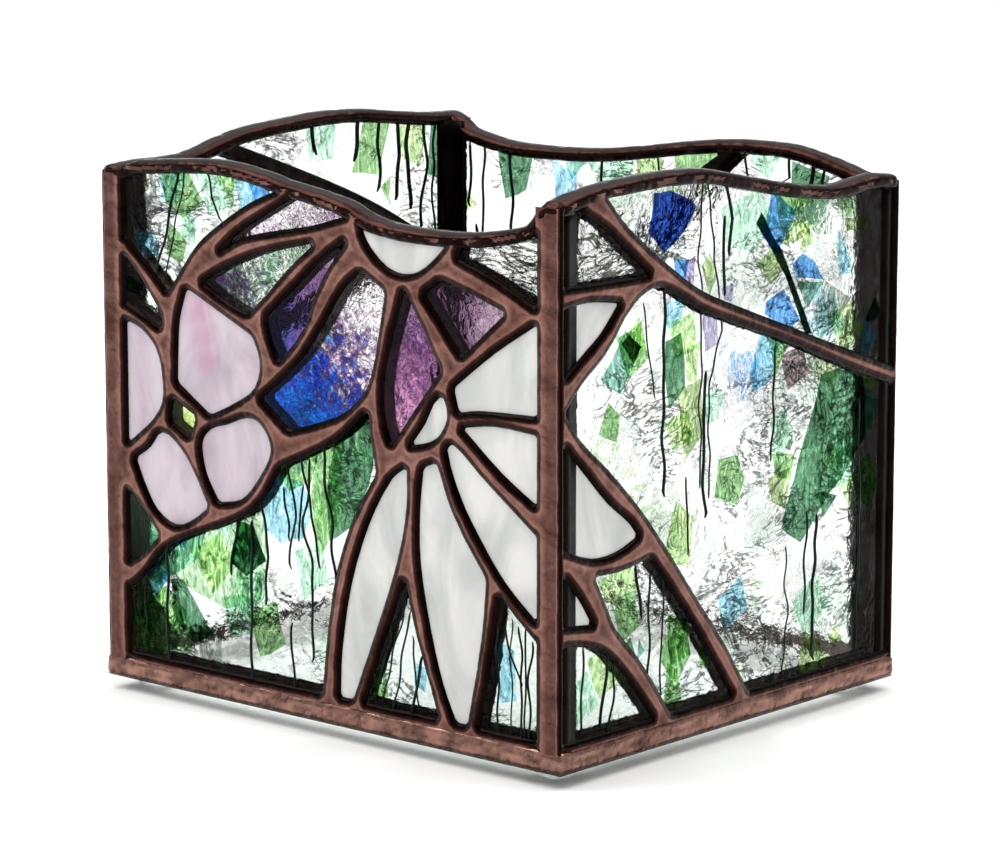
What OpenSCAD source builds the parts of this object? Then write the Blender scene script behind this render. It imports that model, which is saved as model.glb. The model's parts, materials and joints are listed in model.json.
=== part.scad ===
// Stained glass candle box made by the copper foil method.
// Four walls of cut glass stand on a foiled glass base plate carried by four clear bumper feet.
// Millimetres. Z is up, the floor is z = 0, the origin is under the centre of the box,
// +X runs along the front wall and the front wall faces -Y.

/* [Box] */
// Outside length of the front and back walls
box_length = 102; // [90:0.5:120]
// Outside depth of the left and right walls
box_depth = 87.6; // [76:0.1:110]
// Thickness of every sheet of glass
glass_thickness = 3; // [2:0.1:4]
// How far a piece of glass reaches under the solder beside its window
glass_lap = 0.9; // [0.7:0.05:1]

/* [Foil and solder] */
// Copper foil, drawn thicker than the real tape so that it has a body
foil_thickness = 0.1; // [0.05:0.01:0.2]
// Solder standing on each side of the glass
solder_thickness = 0.5; // [0.3:0.05:1]
// Height of the bead along the wavy top edge
rim_height = 1.8; // [1.4:0.1:3]
// Solder left above the glass inside the top bead
rim_cap = 0.8; // [0.5:0.1:1.2]
// How far the top bead stands out on each side of the wall
rim_proud = 0.15; // [0:0.05:0.3]
// Width of the corner solder seen on the front and back walls
corner_wide = 5.3; // [4.8:0.1:6]
// Width of the corner solder seen on the side walls
corner_narrow = 1.1; // [0.9:0.1:2]
// Reach of the fillet inside each upright corner
corner_fillet = 7.2; // [5.6:0.1:9]
// Radius on the outside of each upright corner
corner_round = 0.45; // [0.2:0.05:0.5]
// Size of the fillet between the walls and the base plate
base_fillet = 2.2; // [1.2:0.1:3]

/* [Base and feet] */
// How far the base plate reaches past the walls
base_overhang = 0.4; // [0:0.1:2]
// Width of foil turned over onto the faces of the base plate
base_foil_lap = 1.6; // [1:0.1:3]
// Height of a bumper foot
foot_height = 2.4; // [1.5:0.1:5]
// Diameter of a bumper foot
foot_diameter = 8; // [5:0.5:12]
// Height of the domed part of a foot
foot_dome = 1.8; // [1:0.1:4]
// How much of the tip of the dome is flattened by the floor
foot_flat = 0.15; // [0.05:0.05:0.5]
// Distance from the outside of the walls to the middle of a foot
foot_inset = 6; // [6:0.5:20]

/* [Drawing] */
// Straight steps drawn between two points of a curved cut
curve_steps = 3; // [2:1:6]
// Length trimmed from each side of a sharp corner of a window
tip_trim = 0.5; // [0.2:0.1:1]
// Solder slivers thinner than twice this are left out
sliver = 0.2; // [0.1:0.05:0.4]

/* [Hidden] */
FRONT = 0;
RIGHT = 1;
BACK = 2;
LEFT = 3;
skin = foil_thickness + solder_thickness;
wall_thickness = glass_thickness + 2 * skin;
base_top = foot_height + glass_thickness + 2 * foil_thickness;
// where the windows end at the corners and the base, and a height above every top edge
WEST = corner_wide;
EAST = box_length - corner_wide;
NEAR = corner_narrow;
FAR = box_depth - corner_narrow;
sill_solder = 1.7;
SILL = base_top + sill_solder;
OVER = 99;
// gap left between the side walls and the panes that stand between them
butt_gap = 0.2;
butt_start = wall_thickness + foil_thickness + butt_gap;
corner_post = glass_thickness + skin + foil_thickness;
// gap left between the inner solder lines and the corner fillets
fillet_gap = 0.1;
// thinnest edge left on a fillet of solder
seam_lip = 0.2;
// overlap that joins two shapes, and how far a cut runs past the solid it opens
weld = 0.02;
cut_past = 2;
small_fn = 16;
sliver_fn = 8;
round_fn = 64;

function wall_width(k) = k % 2 == 0 ? box_length : box_depth;
// the front and back walls stand between the two side walls
function glass_start(k) = k % 2 == 0 ? butt_start : skin;
function solder_start(k) = k % 2 == 0 ? corner_wide : corner_narrow;

// ---- curves -------------------------------------------------------------------
// A point is [along the wall, height], with a third number where the cut has a corner.
function is_corner(p) = len(p) > 2;
function xy(p) = [p[0], p[1]];
function unit(v) = v / norm(v);
function bend(prev, here, next, chord) =
    is_corner(here) ? chord : unit(xy(next) - xy(prev)) * norm(chord);
function along(p, q, mp, mq, t) =
    (2*t*t*t - 3*t*t + 1) * p + (t*t*t - 2*t*t + t) * mp
    + (3*t*t - 2*t*t*t) * q + (t*t*t - t*t) * mq;
// solder never runs to a point, so both sides of a sharp corner stop a little short of it
function trimmed(prev, here, next) = [
    xy(here) - tip_trim * unit(xy(here) - xy(prev)),
    xy(here) + tip_trim * unit(xy(next) - xy(here))];
function piece_steps(a, b) = is_corner(a) && is_corner(b) ? 1 : curve_steps;
function closed_curve(pts) = let (n = len(pts)) [
    for (i = [0:n - 1]) let (
        before = pts[(i + n - 1) % n], a = pts[i],
        b = pts[(i + 1) % n], after = pts[(i + 2) % n],
        chord = xy(b) - xy(a), steps = piece_steps(a, b),
        ma = bend(before, a, b, chord), mb = bend(a, b, after, chord))
        for (p = concat(
            is_corner(a) ? trimmed(before, a, b) : [xy(a)],
            steps > 1 ? [for (s = [1:steps - 1]) along(xy(a), xy(b), ma, mb, s / steps)] : []))
            p];
function open_curve(pts, drop) = let (n = len(pts)) [
    for (i = [0:n - 2]) let (
        a = pts[i], b = pts[i + 1], chord = b - a,
        ma = i == 0 ? chord : unit(b - pts[i - 1]) * norm(chord),
        mb = i == n - 2 ? chord : unit(pts[i + 2] - a) * norm(chord))
        for (s = [0:curve_steps - 1]) along(a, b, ma, mb, s / curve_steps) - [0, drop],
    pts[n - 1] - [0, drop]];

// ---- top edges, left to right as each wall is seen from outside ---------------------
front_rim = [[0, 90.5], [4, 91.5], [10, 92], [20, 92.9], [28, 93.2], [36, 92.3], [43, 91],
    [50, 90], [56, 88.8], [61, 87], [66, 86.2], [74, 85.9], [82, 86.2], [90, 87.4],
    [96, 89], [102, 90.6]];
right_rim = [[0, 92.6], [5, 93.7], [12, 94.5], [20, 94.9], [28, 95], [36, 94.6], [45, 92.9],
    [55, 90.9], [64, 89.4], [71, 88.8], [77, 89.2], [82, 89.6], [87.6, 89]];
back_rim = [[0, 89], [5, 89.2], [12, 91], [20, 92.6], [27, 92.8], [34, 92.6], [43, 91.6],
    [53, 90.1], [63, 88.8], [73, 88.3], [84, 88.4], [91, 89.5], [97, 91], [102, 92.8]];
left_rim = [[0, 92.8], [8, 93.1], [16, 93.9], [26, 95.1], [36, 95.5], [46, 95], [55, 94.3],
    [62, 93.1], [68, 91.5], [75, 90.9], [82, 91], [87.6, 90.5]];
rims = [front_rim, right_rim, back_rim, left_rim];

// ---- windows: the glass left showing between the solder lines --------------------------
front_windows = [
    // 0 clear streaky glass, top left
    [[WEST,OVER,1], [42,OVER,1], [42,89.9,1], [34.7,86.9], [28,83], [22.8,79.3], [18.7,74.6],
     [15.5,70.3,1], [11,74.3], [WEST,79,1]],
    // 1 little triangle above the corner petal
    [[WEST,75.3,1], [9.5,71.3], [13.9,66,1], [13.6,64,1], [9.5,66], [WEST,67.6,1]],
    // 2 pink petal that turns the corner
    [[WEST,64.4,1], [9,63.2], [12.3,60.3], [13.6,56], [13.6,51.5], [11,48], [8,45.6], [WEST,43.6,1]],
    // 3 large pink petal
    [[19.8,71.3,1], [27,68.2], [35,64.8,1], [36.6,61], [35.5,56.5], [31,53.4], [25,50.6,1],
     [21,53], [17.3,55.3,1], [17.5,60], [18,66]],
    // 4 eye of the pink flower
    [[16.2,52.3,1], [21.6,49.8,1], [20.3,46.3,1], [15.8,48.4,1]],
    // 5 lower left pink petal
    [[13.5,46.2], [18,43.8], [20.7,40.7], [24.3,34.9,1], [20.5,32.2], [16.5,30.8], [12,32.8],
     [9,37], [7,41,1], [10.5,43.3]],
    // 6 lower right pink petal
    [[23.2,46.3], [25.4,48.3], [29,49.4], [33.4,51], [36.6,50.4], [38.8,47.3], [38.6,45], [35.5,40.5], [32,37.2],
     [26.8,36,1], [24,40.3], [23,44]],
    // 7 little triangle under the pink flower
    [[WEST,35.3,1], [9,32], [12.4,28.4,1], [9,25.3], [WEST,23,1]],
    // 8 clear and violet ray, uppermost
    [[27.8,78.3,1], [33,81], [40,82.7], [48,84.2], [57.5,87,1], [57.5,OVER,1],
     [44.8,OVER,1], [44.8,88.7,1], [38.6,85.3], [32.6,82]],
    // 9 dark green ray
    [[23.7,72.8,1], [30,76], [38,78.9], [49.3,81.6,1], [43,76.6], [38.5,72.3], [34.3,68.6,1],
     [29,70.2]],
    // 10 violet and blue ray
    [[38.4,68.4,1], [45,74], [51,79], [56.5,82.7,1], [52.5,78], [49.3,73], [46.8,67.5],
     [41.3,61.4,1], [39.3,65]],
    // 11 broad violet and cobalt ray
    [[37,54.8,1], [42,58.6], [47,63], [52,69.5], [56,75], [59.6,77.9,1], [64.7,75.3,1],
     [63.6,69.5], [62,62.5], [60.3,58.7], [55.5,54.5], [50,52.3], [43.5,50.3,1]],
    // 12 white petal hanging from the rim
    [[59.9,OVER,1], [59.9,84.6,1], [61.5,82.2], [65,79.4], [68.5,78.5], [72,79.2],
     [75.5,81.7], [78.3,84.4,1], [78.3,OVER,1]],
    // 13 violet spear
    [[69,76,1], [72.3,71], [76.7,63.9,1], [72.5,58.7], [66.2,50.7,1], [64.8,54], [64.4,59.5], [65.7,66]],
    // 14 violet kite
    [[77,78.2,1], [84,76.3], [90.2,74.4,1], [86,70.8], [81.3,66.7,1], [77.5,71], [73.2,75.8,1]],
    // 15 clear rippled glass, top right
    [[80.2,82.2,1], [82,84.8,1], [82,OVER,1], [EAST,OVER,1], [EAST,75.9,1], [89,79.3]],
    // 16 white petal, first at the corner
    [[EAST,73.2,1], [88,67.8], [79.4,61.4,1], [80.5,57.6,1], [85,58.4], [EAST,58.9,1]],
    // 17 eye of the white flower
    [[76.5,59.6], [78,57], [76.6,53.8], [74.2,52.1], [70.2,51.1,1], [73.2,54.8]],
    // 18 white petal, second at the corner
    [[81.2,55.2,1], [88,56.2], [EAST,55.8,1], [EAST,44.8,1], [89.5,49]],
    // 19 white petal, third at the corner
    [[78,51.2], [79.3,52.2], [85,48], [EAST,39.8,1], [EAST,26.3,1], [90.2,31.6],
     [84.7,38.2], [80.7,44.2]],
    // 20 broad white petal
    [[72.9,47.8,1], [75.7,48.9,1], [79.3,40.8], [86.2,31.5,1], [85.2,22], [82.2,SILL,1], [79.8,SILL,1],
     [77,13], [74.5,21], [72.2,32], [72.1,41]],
    // 21 long white petal
    [[69.3,47.4,1], [69.2,41], [67.5,33], [64,23.5], [57.2,SILL,1], [54.4,SILL,1], [54.8,15],
     [57,26.5], [61,37], [66,45]],
    // 22 broad streaky background
    [[WEST,18.2,1], [9,21], [14,26.2], [20,29.1], [27,31.8], [34,35], [37.8,38.5], [41.2,43.6,1],
     [47,46.2], [54,49.7], [60.9,55.3,1], [61.6,50.5], [62.6,45.5,1], [57.5,37.5], [54,29],
     [51.8,19], [50.3,SILL,1], [WEST,SILL,1]],
    // 23 triangle between the two long petals
    [[68.9,29,1], [71.2,20.5], [76.1,SILL,1], [60,SILL,1], [64.5,18.5]],
    // 24 background beside the corner
    [[89.1,29.3,1], [92,26.7], [EAST,22.9,1], [EAST,SILL,1], [84.7,SILL,1], [86.8,16], [88.2,24]]];

right_windows = [
    // 0 clear rippled glass
    [[NEAR,79.5,1], [NEAR,OVER,1], [4.9,OVER,1], [4.9,90.7,1], [10,88], [15.5,84], [21.5,79.3,1], [12,79.3]],
    // 1 upper white petal
    [[NEAR,76,1], [7,76.4], [14.4,75.5,1], [10,71.2], [6.5,68.9], [NEAR,65.3,1]],
    // 2 middle white petal
    [[NEAR,54.6,1], [6,49.8], [12,44], [17,40.3], [19.4,37.7,1], [14,36], [8,35.9], [NEAR,38.3,1]],
    // 3 small white petal
    [[NEAR,34,1], [5,29.8], [8.2,25.3,1], [NEAR,26.2,1]],
    // 4 background at the foot of the corner
    [[NEAR,22.8,1], [6,22], [11,20], [17,14.5], [23.3,SILL,1], [NEAR,SILL,1]],
    // 5 streaky background above the long line
    [[11.2,OVER,1], [11.2,92.8,1], [15,88.7], [20,84.7], [26.5,80.3], [34.9,75.3], [45,71.4], [57.3,67],
     [68,63.1], [78.7,59.4], [FAR,56.7,1], [FAR,OVER,1]],
    // 6 background between the two stems
    [[22.2,33.6,1], [15,32.6], [8.8,32.8,1], [11.5,28], [14,23.6], [19,18.6], [24,12.5],
     [27.8,SILL,1], [43.5,SILL,1], [38,14.6], [31,23.5]],
    // 7 broad streaky background
    [[1.4,59.8,1], [5.6,63.9], [10.6,67.3], [13.5,70.2], [17.5,74.4], [23,76.9], [28,75.4],
     [34.9,71.9], [43,69], [54.8,65], [65.9,60.9], [75.1,57.3], [FAR,53.3,1], [FAR,SILL,1], [48,SILL,1], [42,16], [34,25.6], [26,35.3],
     [20,42], [12,49.5], [5,55.3]]];

back_windows = [
    // 0 streaky background below the line
    [[WEST,OVER,1], [29.5,OVER,1], [29.5,91.6,1], [37.3,84.8], [45,77.3],
     [55,70.4], [69,64.4], [84,60.7], [EAST,59,1], [EAST,SILL,1], [WEST,SILL,1]],
    // 1 streaky background above the line
    [[33.3,OVER,1], [33.3,91.5,1], [40.5,86.8], [47.5,80.5], [57,73.8], [71,67.8], [85,64],
     [EAST,62.2,1], [EAST,OVER,1]]];

left_windows = [
    // 0 streaky background above the line
    [[NEAR,66.5,1], [11,71.4], [22,77.2], [32,81.6], [45,86.6], [60.5,92.2,1],
     [60.5,OVER,1], [NEAR,OVER,1]],
    // 1 clear streaky leaf below the line
    [[17.5,71.6,1], [25,75.3], [36,80], [48,84.6], [60,89.2], [65.5,91.3,1], [65.5,OVER,1],
     [FAR,OVER,1], [FAR,67.6,1], [80,66.4], [74.5,62.6], [71.8,56.8,1],
     [62,57.6], [50,60.3], [38,63], [26,67]],
    // 2 broad streaky background
    [[NEAR,61.6,1], [11.5,67.2,1], [25,63.2], [38,59.2], [50,56.7], [62,54], [71.6,53,1],
     [73,48], [77.5,43.6], [FAR,40.6,1], [FAR,23,1], [79.5,16.4], [74,SILL,1], [NEAR,SILL,1]],
    // 3 pink petal that turns the corner
    [[FAR,64.4,1], [81,63.2], [76.6,59.8], [74.8,55], [75.8,50], [79.5,46.2], [FAR,43.6,1]],
    // 4 little triangle at the foot of the corner
    [[FAR,19.2,1], [82,14.8], [77.6,SILL,1], [FAR,SILL,1]]];
windows = [front_windows, right_windows, back_windows, left_windows];

// ---- flat shapes of one wall -----------------------------------------------------
module field(k, side, foot, drop) {
    w = wall_width(k);
    intersection() {
        translate([side, foot]) square([w - 2 * side, max([for (p = rims[k]) p[1]])]);
        polygon(concat(open_curve(rims[k], drop), [[w, 0], [0, 0]]));
    }
}

module window(k, i, grow = 0) {
    offset(delta = grow) polygon(closed_curve(windows[k][i]));
}

// a pane is its window grown under the solder on every side, as far as the wall reaches
module pane_shape(k, i, grow = 0) {
    offset(delta = grow) intersection() {
        field(k, glass_start(k), base_top + foil_thickness, rim_cap + foil_thickness);
        window(k, i, glass_lap);
    }
}

// the solder lines on one face of a wall
module lines(k, side, foot) {
    offset(r = sliver, $fn = sliver_fn) offset(delta = -sliver) difference() {
        field(k, side, foot, rim_height);
        for (i = [0:len(windows[k]) - 1]) window(k, i);
    }
}

// solder between the edges of the panes
module joints(k) {
    offset(r = weld, $fn = sliver_fn) offset(delta = -weld) difference() {
        field(k, glass_start(k) - foil_thickness, base_top, rim_cap);
        for (i = [0:len(windows[k]) - 1]) pane_shape(k, i, foil_thickness);
    }
}

module foil_turned_over(k, i) {
    offset(delta = 0) difference() {
        pane_shape(k, i, foil_thickness);
        window(k, i, foil_thickness);
    }
}

module foil_edge(k, i) {
    offset(delta = 0) difference() {
        pane_shape(k, i, foil_thickness);
        pane_shape(k, i);
    }
}

// ---- placing on a wall: local Z points out of the box, 0 is the outer face -------------
wall_corner = [[-1, -1], [1, -1], [1, 1], [-1, 1]];
module on_wall(k) {
    translate([wall_corner[k][0] * box_length / 2, wall_corner[k][1] * box_depth / 2, 0])
        rotate([90, 0, 90 * k]) children();
}
module layer(k, outer, thick) {
    on_wall(k) translate([0, 0, -outer - thick]) linear_extrude(thick) children();
}

// ---- glass ---------------------------------------------------------------------
clear = [0.82, 0.9, 0.86, 0.45];
green = [0.45, 0.72, 0.5, 0.55];
violet = [0.45, 0.32, 0.55, 0.6];
blue = [0.15, 0.3, 0.85, 0.65];
pink = [0.84, 0.74, 0.79];
white = [0.88, 0.91, 0.9];
copper = [0.48, 0.33, 0.28];
dark_copper = [0.36, 0.24, 0.2];
bright_copper = [0.78, 0.45, 0.32];
clear_rubber = [0.9, 0.93, 0.92, 0.6];

module pane(k, i, tint) {
    color(tint) layer(k, skin, glass_thickness) pane_shape(k, i);
}
module front_clear_top() { pane(FRONT, 0, clear); }
module front_clear_triangle() { pane(FRONT, 1, clear); }
module front_pink_corner_petal() { pane(FRONT, 2, pink); }
module front_pink_large_petal() { pane(FRONT, 3, pink); }
module front_pink_flower_eye() { pane(FRONT, 4, clear); }
module front_pink_lower_left_petal() { pane(FRONT, 5, pink); }
module front_pink_lower_right_petal() { pane(FRONT, 6, pink); }
module front_green_triangle() { pane(FRONT, 7, green); }
module front_violet_top_ray() { pane(FRONT, 8, violet); }
module front_dark_ray() { pane(FRONT, 9, green); }
module front_violet_ray() { pane(FRONT, 10, violet); }
module front_cobalt_ray() { pane(FRONT, 11, blue); }
module front_white_rim_petal() { pane(FRONT, 12, white); }
module front_violet_spear() { pane(FRONT, 13, violet); }
module front_violet_kite() { pane(FRONT, 14, violet); }
module front_clear_ripple() { pane(FRONT, 15, clear); }
module front_white_corner_petal_a() { pane(FRONT, 16, white); }
module front_white_flower_eye() { pane(FRONT, 17, white); }
module front_white_corner_petal_b() { pane(FRONT, 18, white); }
module front_white_corner_petal_c() { pane(FRONT, 19, white); }
module front_white_broad_petal() { pane(FRONT, 20, white); }
module front_white_long_petal() { pane(FRONT, 21, white); }
module front_background() { pane(FRONT, 22, green); }
module front_clear_wedge() { pane(FRONT, 23, clear); }
module front_clear_corner() { pane(FRONT, 24, clear); }
module right_clear_ripple() { pane(RIGHT, 0, clear); }
module right_white_upper_petal() { pane(RIGHT, 1, white); }
module right_white_middle_petal() { pane(RIGHT, 2, white); }
module right_white_small_petal() { pane(RIGHT, 3, white); }
module right_clear_corner() { pane(RIGHT, 4, clear); }
module right_upper_background() { pane(RIGHT, 5, green); }
module right_stem_background() { pane(RIGHT, 6, green); }
module right_background() { pane(RIGHT, 7, green); }
module back_background() { pane(BACK, 0, green); }
module back_upper_background() { pane(BACK, 1, green); }
module left_upper_background() { pane(LEFT, 0, green); }
module left_clear_leaf() { pane(LEFT, 1, clear); }
module left_background() { pane(LEFT, 2, green); }
module left_pink_corner_petal() { pane(LEFT, 3, pink); }
module left_clear_triangle() { pane(LEFT, 4, clear); }

module base_glass() {
    reach = 2 * (base_overhang - foil_thickness);
    color(clear) translate([0, 0, foot_height + foil_thickness + glass_thickness / 2])
        cube([box_length + reach, box_depth + reach, glass_thickness], center = true);
}

// ---- copper foil -----------------------------------------------------------------
module wall_foil(k) {
    color(bright_copper) for (i = [0:len(windows[k]) - 1]) {
        layer(k, solder_thickness, foil_thickness) foil_turned_over(k, i);
        layer(k, skin, glass_thickness) foil_edge(k, i);
        layer(k, skin + glass_thickness, foil_thickness) foil_turned_over(k, i);
    }
}
module front_foil() { wall_foil(FRONT); }
module right_foil() { wall_foil(RIGHT); }
module back_foil() { wall_foil(BACK); }
module left_foil() { wall_foil(LEFT); }

// a U of foil round the edge of the base plate
module base_foil() {
    outer = 2 * base_overhang;
    inner = outer - 2 * foil_thickness;
    open = inner - 2 * base_foil_lap;
    tall = glass_thickness + 2 * foil_thickness;
    color(bright_copper) translate([0, 0, foot_height + tall / 2]) difference() {
        cube([box_length + outer, box_depth + outer, tall], center = true);
        cube([box_length + inner, box_depth + inner, glass_thickness], center = true);
        cube([box_length + open, box_depth + open, 2 * tall], center = true);
    }
}

// ---- solder ----------------------------------------------------------------------
// an H of solder: lines on both faces joined between the panes
module wall_solder(k) {
    inner_side = corner_fillet + fillet_gap;
    color(copper) union() {
        layer(k, 0, solder_thickness) lines(k, solder_start(k), base_top);
        layer(k, solder_thickness, glass_thickness + 2 * foil_thickness) joints(k);
        layer(k, wall_thickness - solder_thickness, solder_thickness)
            lines(k, inner_side, base_top + base_fillet);
    }
}
module front_solder() { wall_solder(FRONT); }
module right_solder() { wall_solder(RIGHT); }
module back_solder() { wall_solder(BACK); }
module left_solder() { wall_solder(LEFT); }

// the bead that caps the wavy top edge; the side walls carry theirs over the corners
module rim(k) {
    w = wall_width(k);
    start = k % 2 == 0 ? wall_thickness + rim_proud : 0;
    color(dark_copper) difference() {
        layer(k, -rim_proud, wall_thickness + 2 * rim_proud) offset(delta = 0) difference() {
            field(k, start, base_top, 0);
            field(k, start - 1, base_top - 1, rim_height);
        }
        layer(k, solder_thickness, glass_thickness + 2 * foil_thickness)
            offset(delta = 0) field(k, start - 1, base_top, rim_cap);
    }
}
module front_rim_bead() { rim(FRONT); }
module right_rim_bead() { rim(RIGHT); }
module back_rim_bead() { rim(BACK); }
module left_rim_bead() { rim(LEFT); }

// upright corner seen from above: [along the front or back wall, along the side wall]
module corner_outside() {
    offset(r = corner_round, $fn = small_fn) offset(delta = -corner_round) {
        square([corner_wide, solder_thickness]);
        square([solder_thickness, corner_narrow]);
    }
    translate([corner_post, 0]) square([butt_start - foil_thickness - corner_post, corner_post]);
    translate([0.5 * solder_thickness, 0]) square([corner_wide - solder_thickness, solder_thickness]);
}
module corner_inside() {
    lip = solder_thickness;
    reach = corner_fillet - corner_post;
    translate([corner_post, corner_post]) difference() {
        square(reach);
        translate([reach, reach]) circle(r = reach - lip, $fn = round_fn);
        translate([reach, reach]) square(2 * lip, center = true);
    }
}
module corner(sx, sy, top) {
    color(copper) translate([sx * box_length / 2, sy * box_depth / 2, 0])
        mirror([sx > 0 ? 1 : 0, 0, 0]) mirror([0, sy > 0 ? 1 : 0, 0]) {
            translate([0, 0, base_top]) linear_extrude(top - rim_height - base_top)
                offset(delta = weld) offset(delta = -weld) corner_outside();
            translate([0, 0, base_top + base_fillet])
                linear_extrude(top - rim_height - base_top - base_fillet)
                offset(delta = weld) offset(delta = -weld) corner_inside();
        }
}
module corner_front_left() { corner(-1, -1, left_rim[len(left_rim) - 1][1]); }
module corner_front_right() { corner(1, -1, right_rim[0][1]); }
module corner_back_right() { corner(1, 1, right_rim[len(right_rim) - 1][1]); }
module corner_back_left() { corner(-1, 1, left_rim[0][1]); }

// fillet of solder round the floor of the box
module base_seam() {
    hx = box_length / 2 - corner_post;
    hy = box_depth / 2 - corner_post;
    f = base_fillet;
    grow = cut_past * (f - seam_lip) / f;
    lo = [hx - f, hy - f];
    hi = [hx - seam_lip + grow, hy - seam_lip + grow];
    color(copper) translate([0, 0, base_top]) difference() {
        translate([-hx, -hy, 0]) cube([2 * hx, 2 * hy, f]);
        translate([0, 0, -cut_past]) linear_extrude(2 * cut_past) square(2 * lo, center = true);
        polyhedron(points = [
            [-lo[0], -lo[1], 0], [lo[0], -lo[1], 0], [lo[0], lo[1], 0], [-lo[0], lo[1], 0],
            [-hi[0], -hi[1], f + cut_past], [hi[0], -hi[1], f + cut_past],
            [hi[0], hi[1], f + cut_past], [-hi[0], hi[1], f + cut_past]],
            faces = [[0, 1, 2, 3], [7, 6, 5, 4], [4, 5, 1, 0], [5, 6, 2, 1], [6, 7, 3, 2],
                [7, 4, 0, 3]]);
    }
}

// ---- feet ------------------------------------------------------------------------
module foot() {
    r = foot_diameter / 2;
    deep = foot_dome + foot_flat;
    ball = (r * r + deep * deep) / (2 * deep);
    intersection() {
        cylinder(r = r, h = foot_height, $fn = round_fn);
        union() {
            translate([0, 0, ball - foot_flat]) sphere(r = ball, $fn = round_fn);
            translate([0, 0, foot_dome]) cylinder(r = r, h = foot_height, $fn = round_fn);
        }
    }
}
module feet() {
    color(clear_rubber) for (sx = [-1, 1], sy = [-1, 1])
        translate([sx * (box_length / 2 - foot_inset), sy * (box_depth / 2 - foot_inset), 0]) foot();
}

front_clear_top();
front_clear_triangle();
front_pink_corner_petal();
front_pink_large_petal();
front_pink_flower_eye();
front_pink_lower_left_petal();
front_pink_lower_right_petal();
front_green_triangle();
front_violet_top_ray();
front_dark_ray();
front_violet_ray();
front_cobalt_ray();
front_white_rim_petal();
front_violet_spear();
front_violet_kite();
front_clear_ripple();
front_white_corner_petal_a();
front_white_flower_eye();
front_white_corner_petal_b();
front_white_corner_petal_c();
front_white_broad_petal();
front_white_long_petal();
front_background();
front_clear_wedge();
front_clear_corner();
right_clear_ripple();
right_white_upper_petal();
right_white_middle_petal();
right_white_small_petal();
right_clear_corner();
right_upper_background();
right_stem_background();
right_background();
back_background();
back_upper_background();
left_upper_background();
left_clear_leaf();
left_background();
left_pink_corner_petal();
left_clear_triangle();
base_glass();
front_foil();
right_foil();
back_foil();
left_foil();
base_foil();
front_solder();
right_solder();
back_solder();
left_solder();
front_rim_bead();
right_rim_bead();
back_rim_bead();
left_rim_bead();
corner_front_left();
corner_front_right();
corner_back_right();
corner_back_left();
base_seam();
feet();
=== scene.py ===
import json
import math
import random

import bpy
import numpy as np
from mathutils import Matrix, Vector
from mathutils.geometry import delaunay_2d_cdt


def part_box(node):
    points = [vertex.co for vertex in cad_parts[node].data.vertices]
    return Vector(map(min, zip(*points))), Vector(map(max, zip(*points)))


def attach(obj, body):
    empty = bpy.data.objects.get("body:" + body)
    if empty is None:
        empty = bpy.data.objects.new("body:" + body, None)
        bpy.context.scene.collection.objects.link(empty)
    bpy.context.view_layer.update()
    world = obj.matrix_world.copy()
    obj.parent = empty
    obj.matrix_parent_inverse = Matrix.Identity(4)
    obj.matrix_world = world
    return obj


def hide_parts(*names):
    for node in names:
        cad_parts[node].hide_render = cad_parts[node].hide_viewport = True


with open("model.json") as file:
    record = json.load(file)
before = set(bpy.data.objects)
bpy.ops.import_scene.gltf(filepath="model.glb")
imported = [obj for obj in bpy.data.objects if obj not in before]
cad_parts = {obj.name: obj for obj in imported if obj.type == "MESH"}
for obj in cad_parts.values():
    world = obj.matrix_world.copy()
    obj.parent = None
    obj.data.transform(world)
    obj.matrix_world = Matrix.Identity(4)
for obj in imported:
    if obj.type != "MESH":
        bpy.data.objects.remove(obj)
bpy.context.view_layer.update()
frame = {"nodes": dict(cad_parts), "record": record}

MM = 0.001
NODES = frame["nodes"]
SLOT_OF = {part["node"]: part["material_slot"] for part in frame["record"]["subparts"]}

FRONT, RIGHT, BACK, LEFT = range(4)
FLOWER_WALLS = (FRONT, RIGHT)  # the two with the flowers
WALL_NAME = ["front", "right", "back", "left"]
HALF = (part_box("right_solder")[1].x / MM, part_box("back_solder")[1].y / MM)
LENGTH = [2 * HALF[0], 2 * HALF[1], 2 * HALF[0], 2 * HALF[1]]
ORIGIN = np.array([(-HALF[0], -HALF[1]), (HALF[0], -HALF[1]), (HALF[0], HALF[1]),
                   (-HALF[0], HALF[1])])
ALONG = np.array([(1, 0), (0, 1), (-1, 0), (0, -1)])
INWARD = np.array([(0, 1), (-1, 0), (0, -1), (1, 0)])

BASE_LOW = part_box("base_foil")[0].z / MM
BASE_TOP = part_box("base_foil")[1].z / MM
WALL_DEPTH = 4.2      # outer face of the wall to its inner face
GLASS_OUT = 0.6       # depth of the outer face of the panes
GLASS_IN = 3.6        # depth of their inner face
CORNER_WIDE = 5.3     # corner solder on the front and back walls
CORNER_NARROW = 1.1   # and on the side walls
INNER_SIDE = 7.3      # where the inner solder lines meet the corner fillets
INNER_SILL = BASE_TOP + 2.2
RIM_DROP = 1.8        # height of the bead on the rim
BEAD_HALF = 1.45      # half the width over which a bead rises to its crown
WIDE_HALF = 2.6       # and over which a wider patch of solder goes on rising
BEAD_SHARE, WIDE_SHARE = 0.82, 0.18  # what each of the two adds to the crown
BEAD_OUT = 0.72       # height of the outer beads above the glass
BEAD_IN = 0.58        # and of the inner ones
EDGE_REACH = 3.0      # how far from an edge the distance to it is worked out
SHEET_STOP = 0.9      # the sheets of beads end this far under the top, inside the rim
CORNER_ROLL = 0.9     # width over which the outer solder rolls round a corner
ABOVE_RIMS = 97       # higher than every rim


# ---- places ---------------------------------------------------------------------------
def to_wall(k, points):
    rel = points[:, :2] - ORIGIN[k]
    return rel @ ALONG[k], points[:, 2], rel @ INWARD[k]


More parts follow.
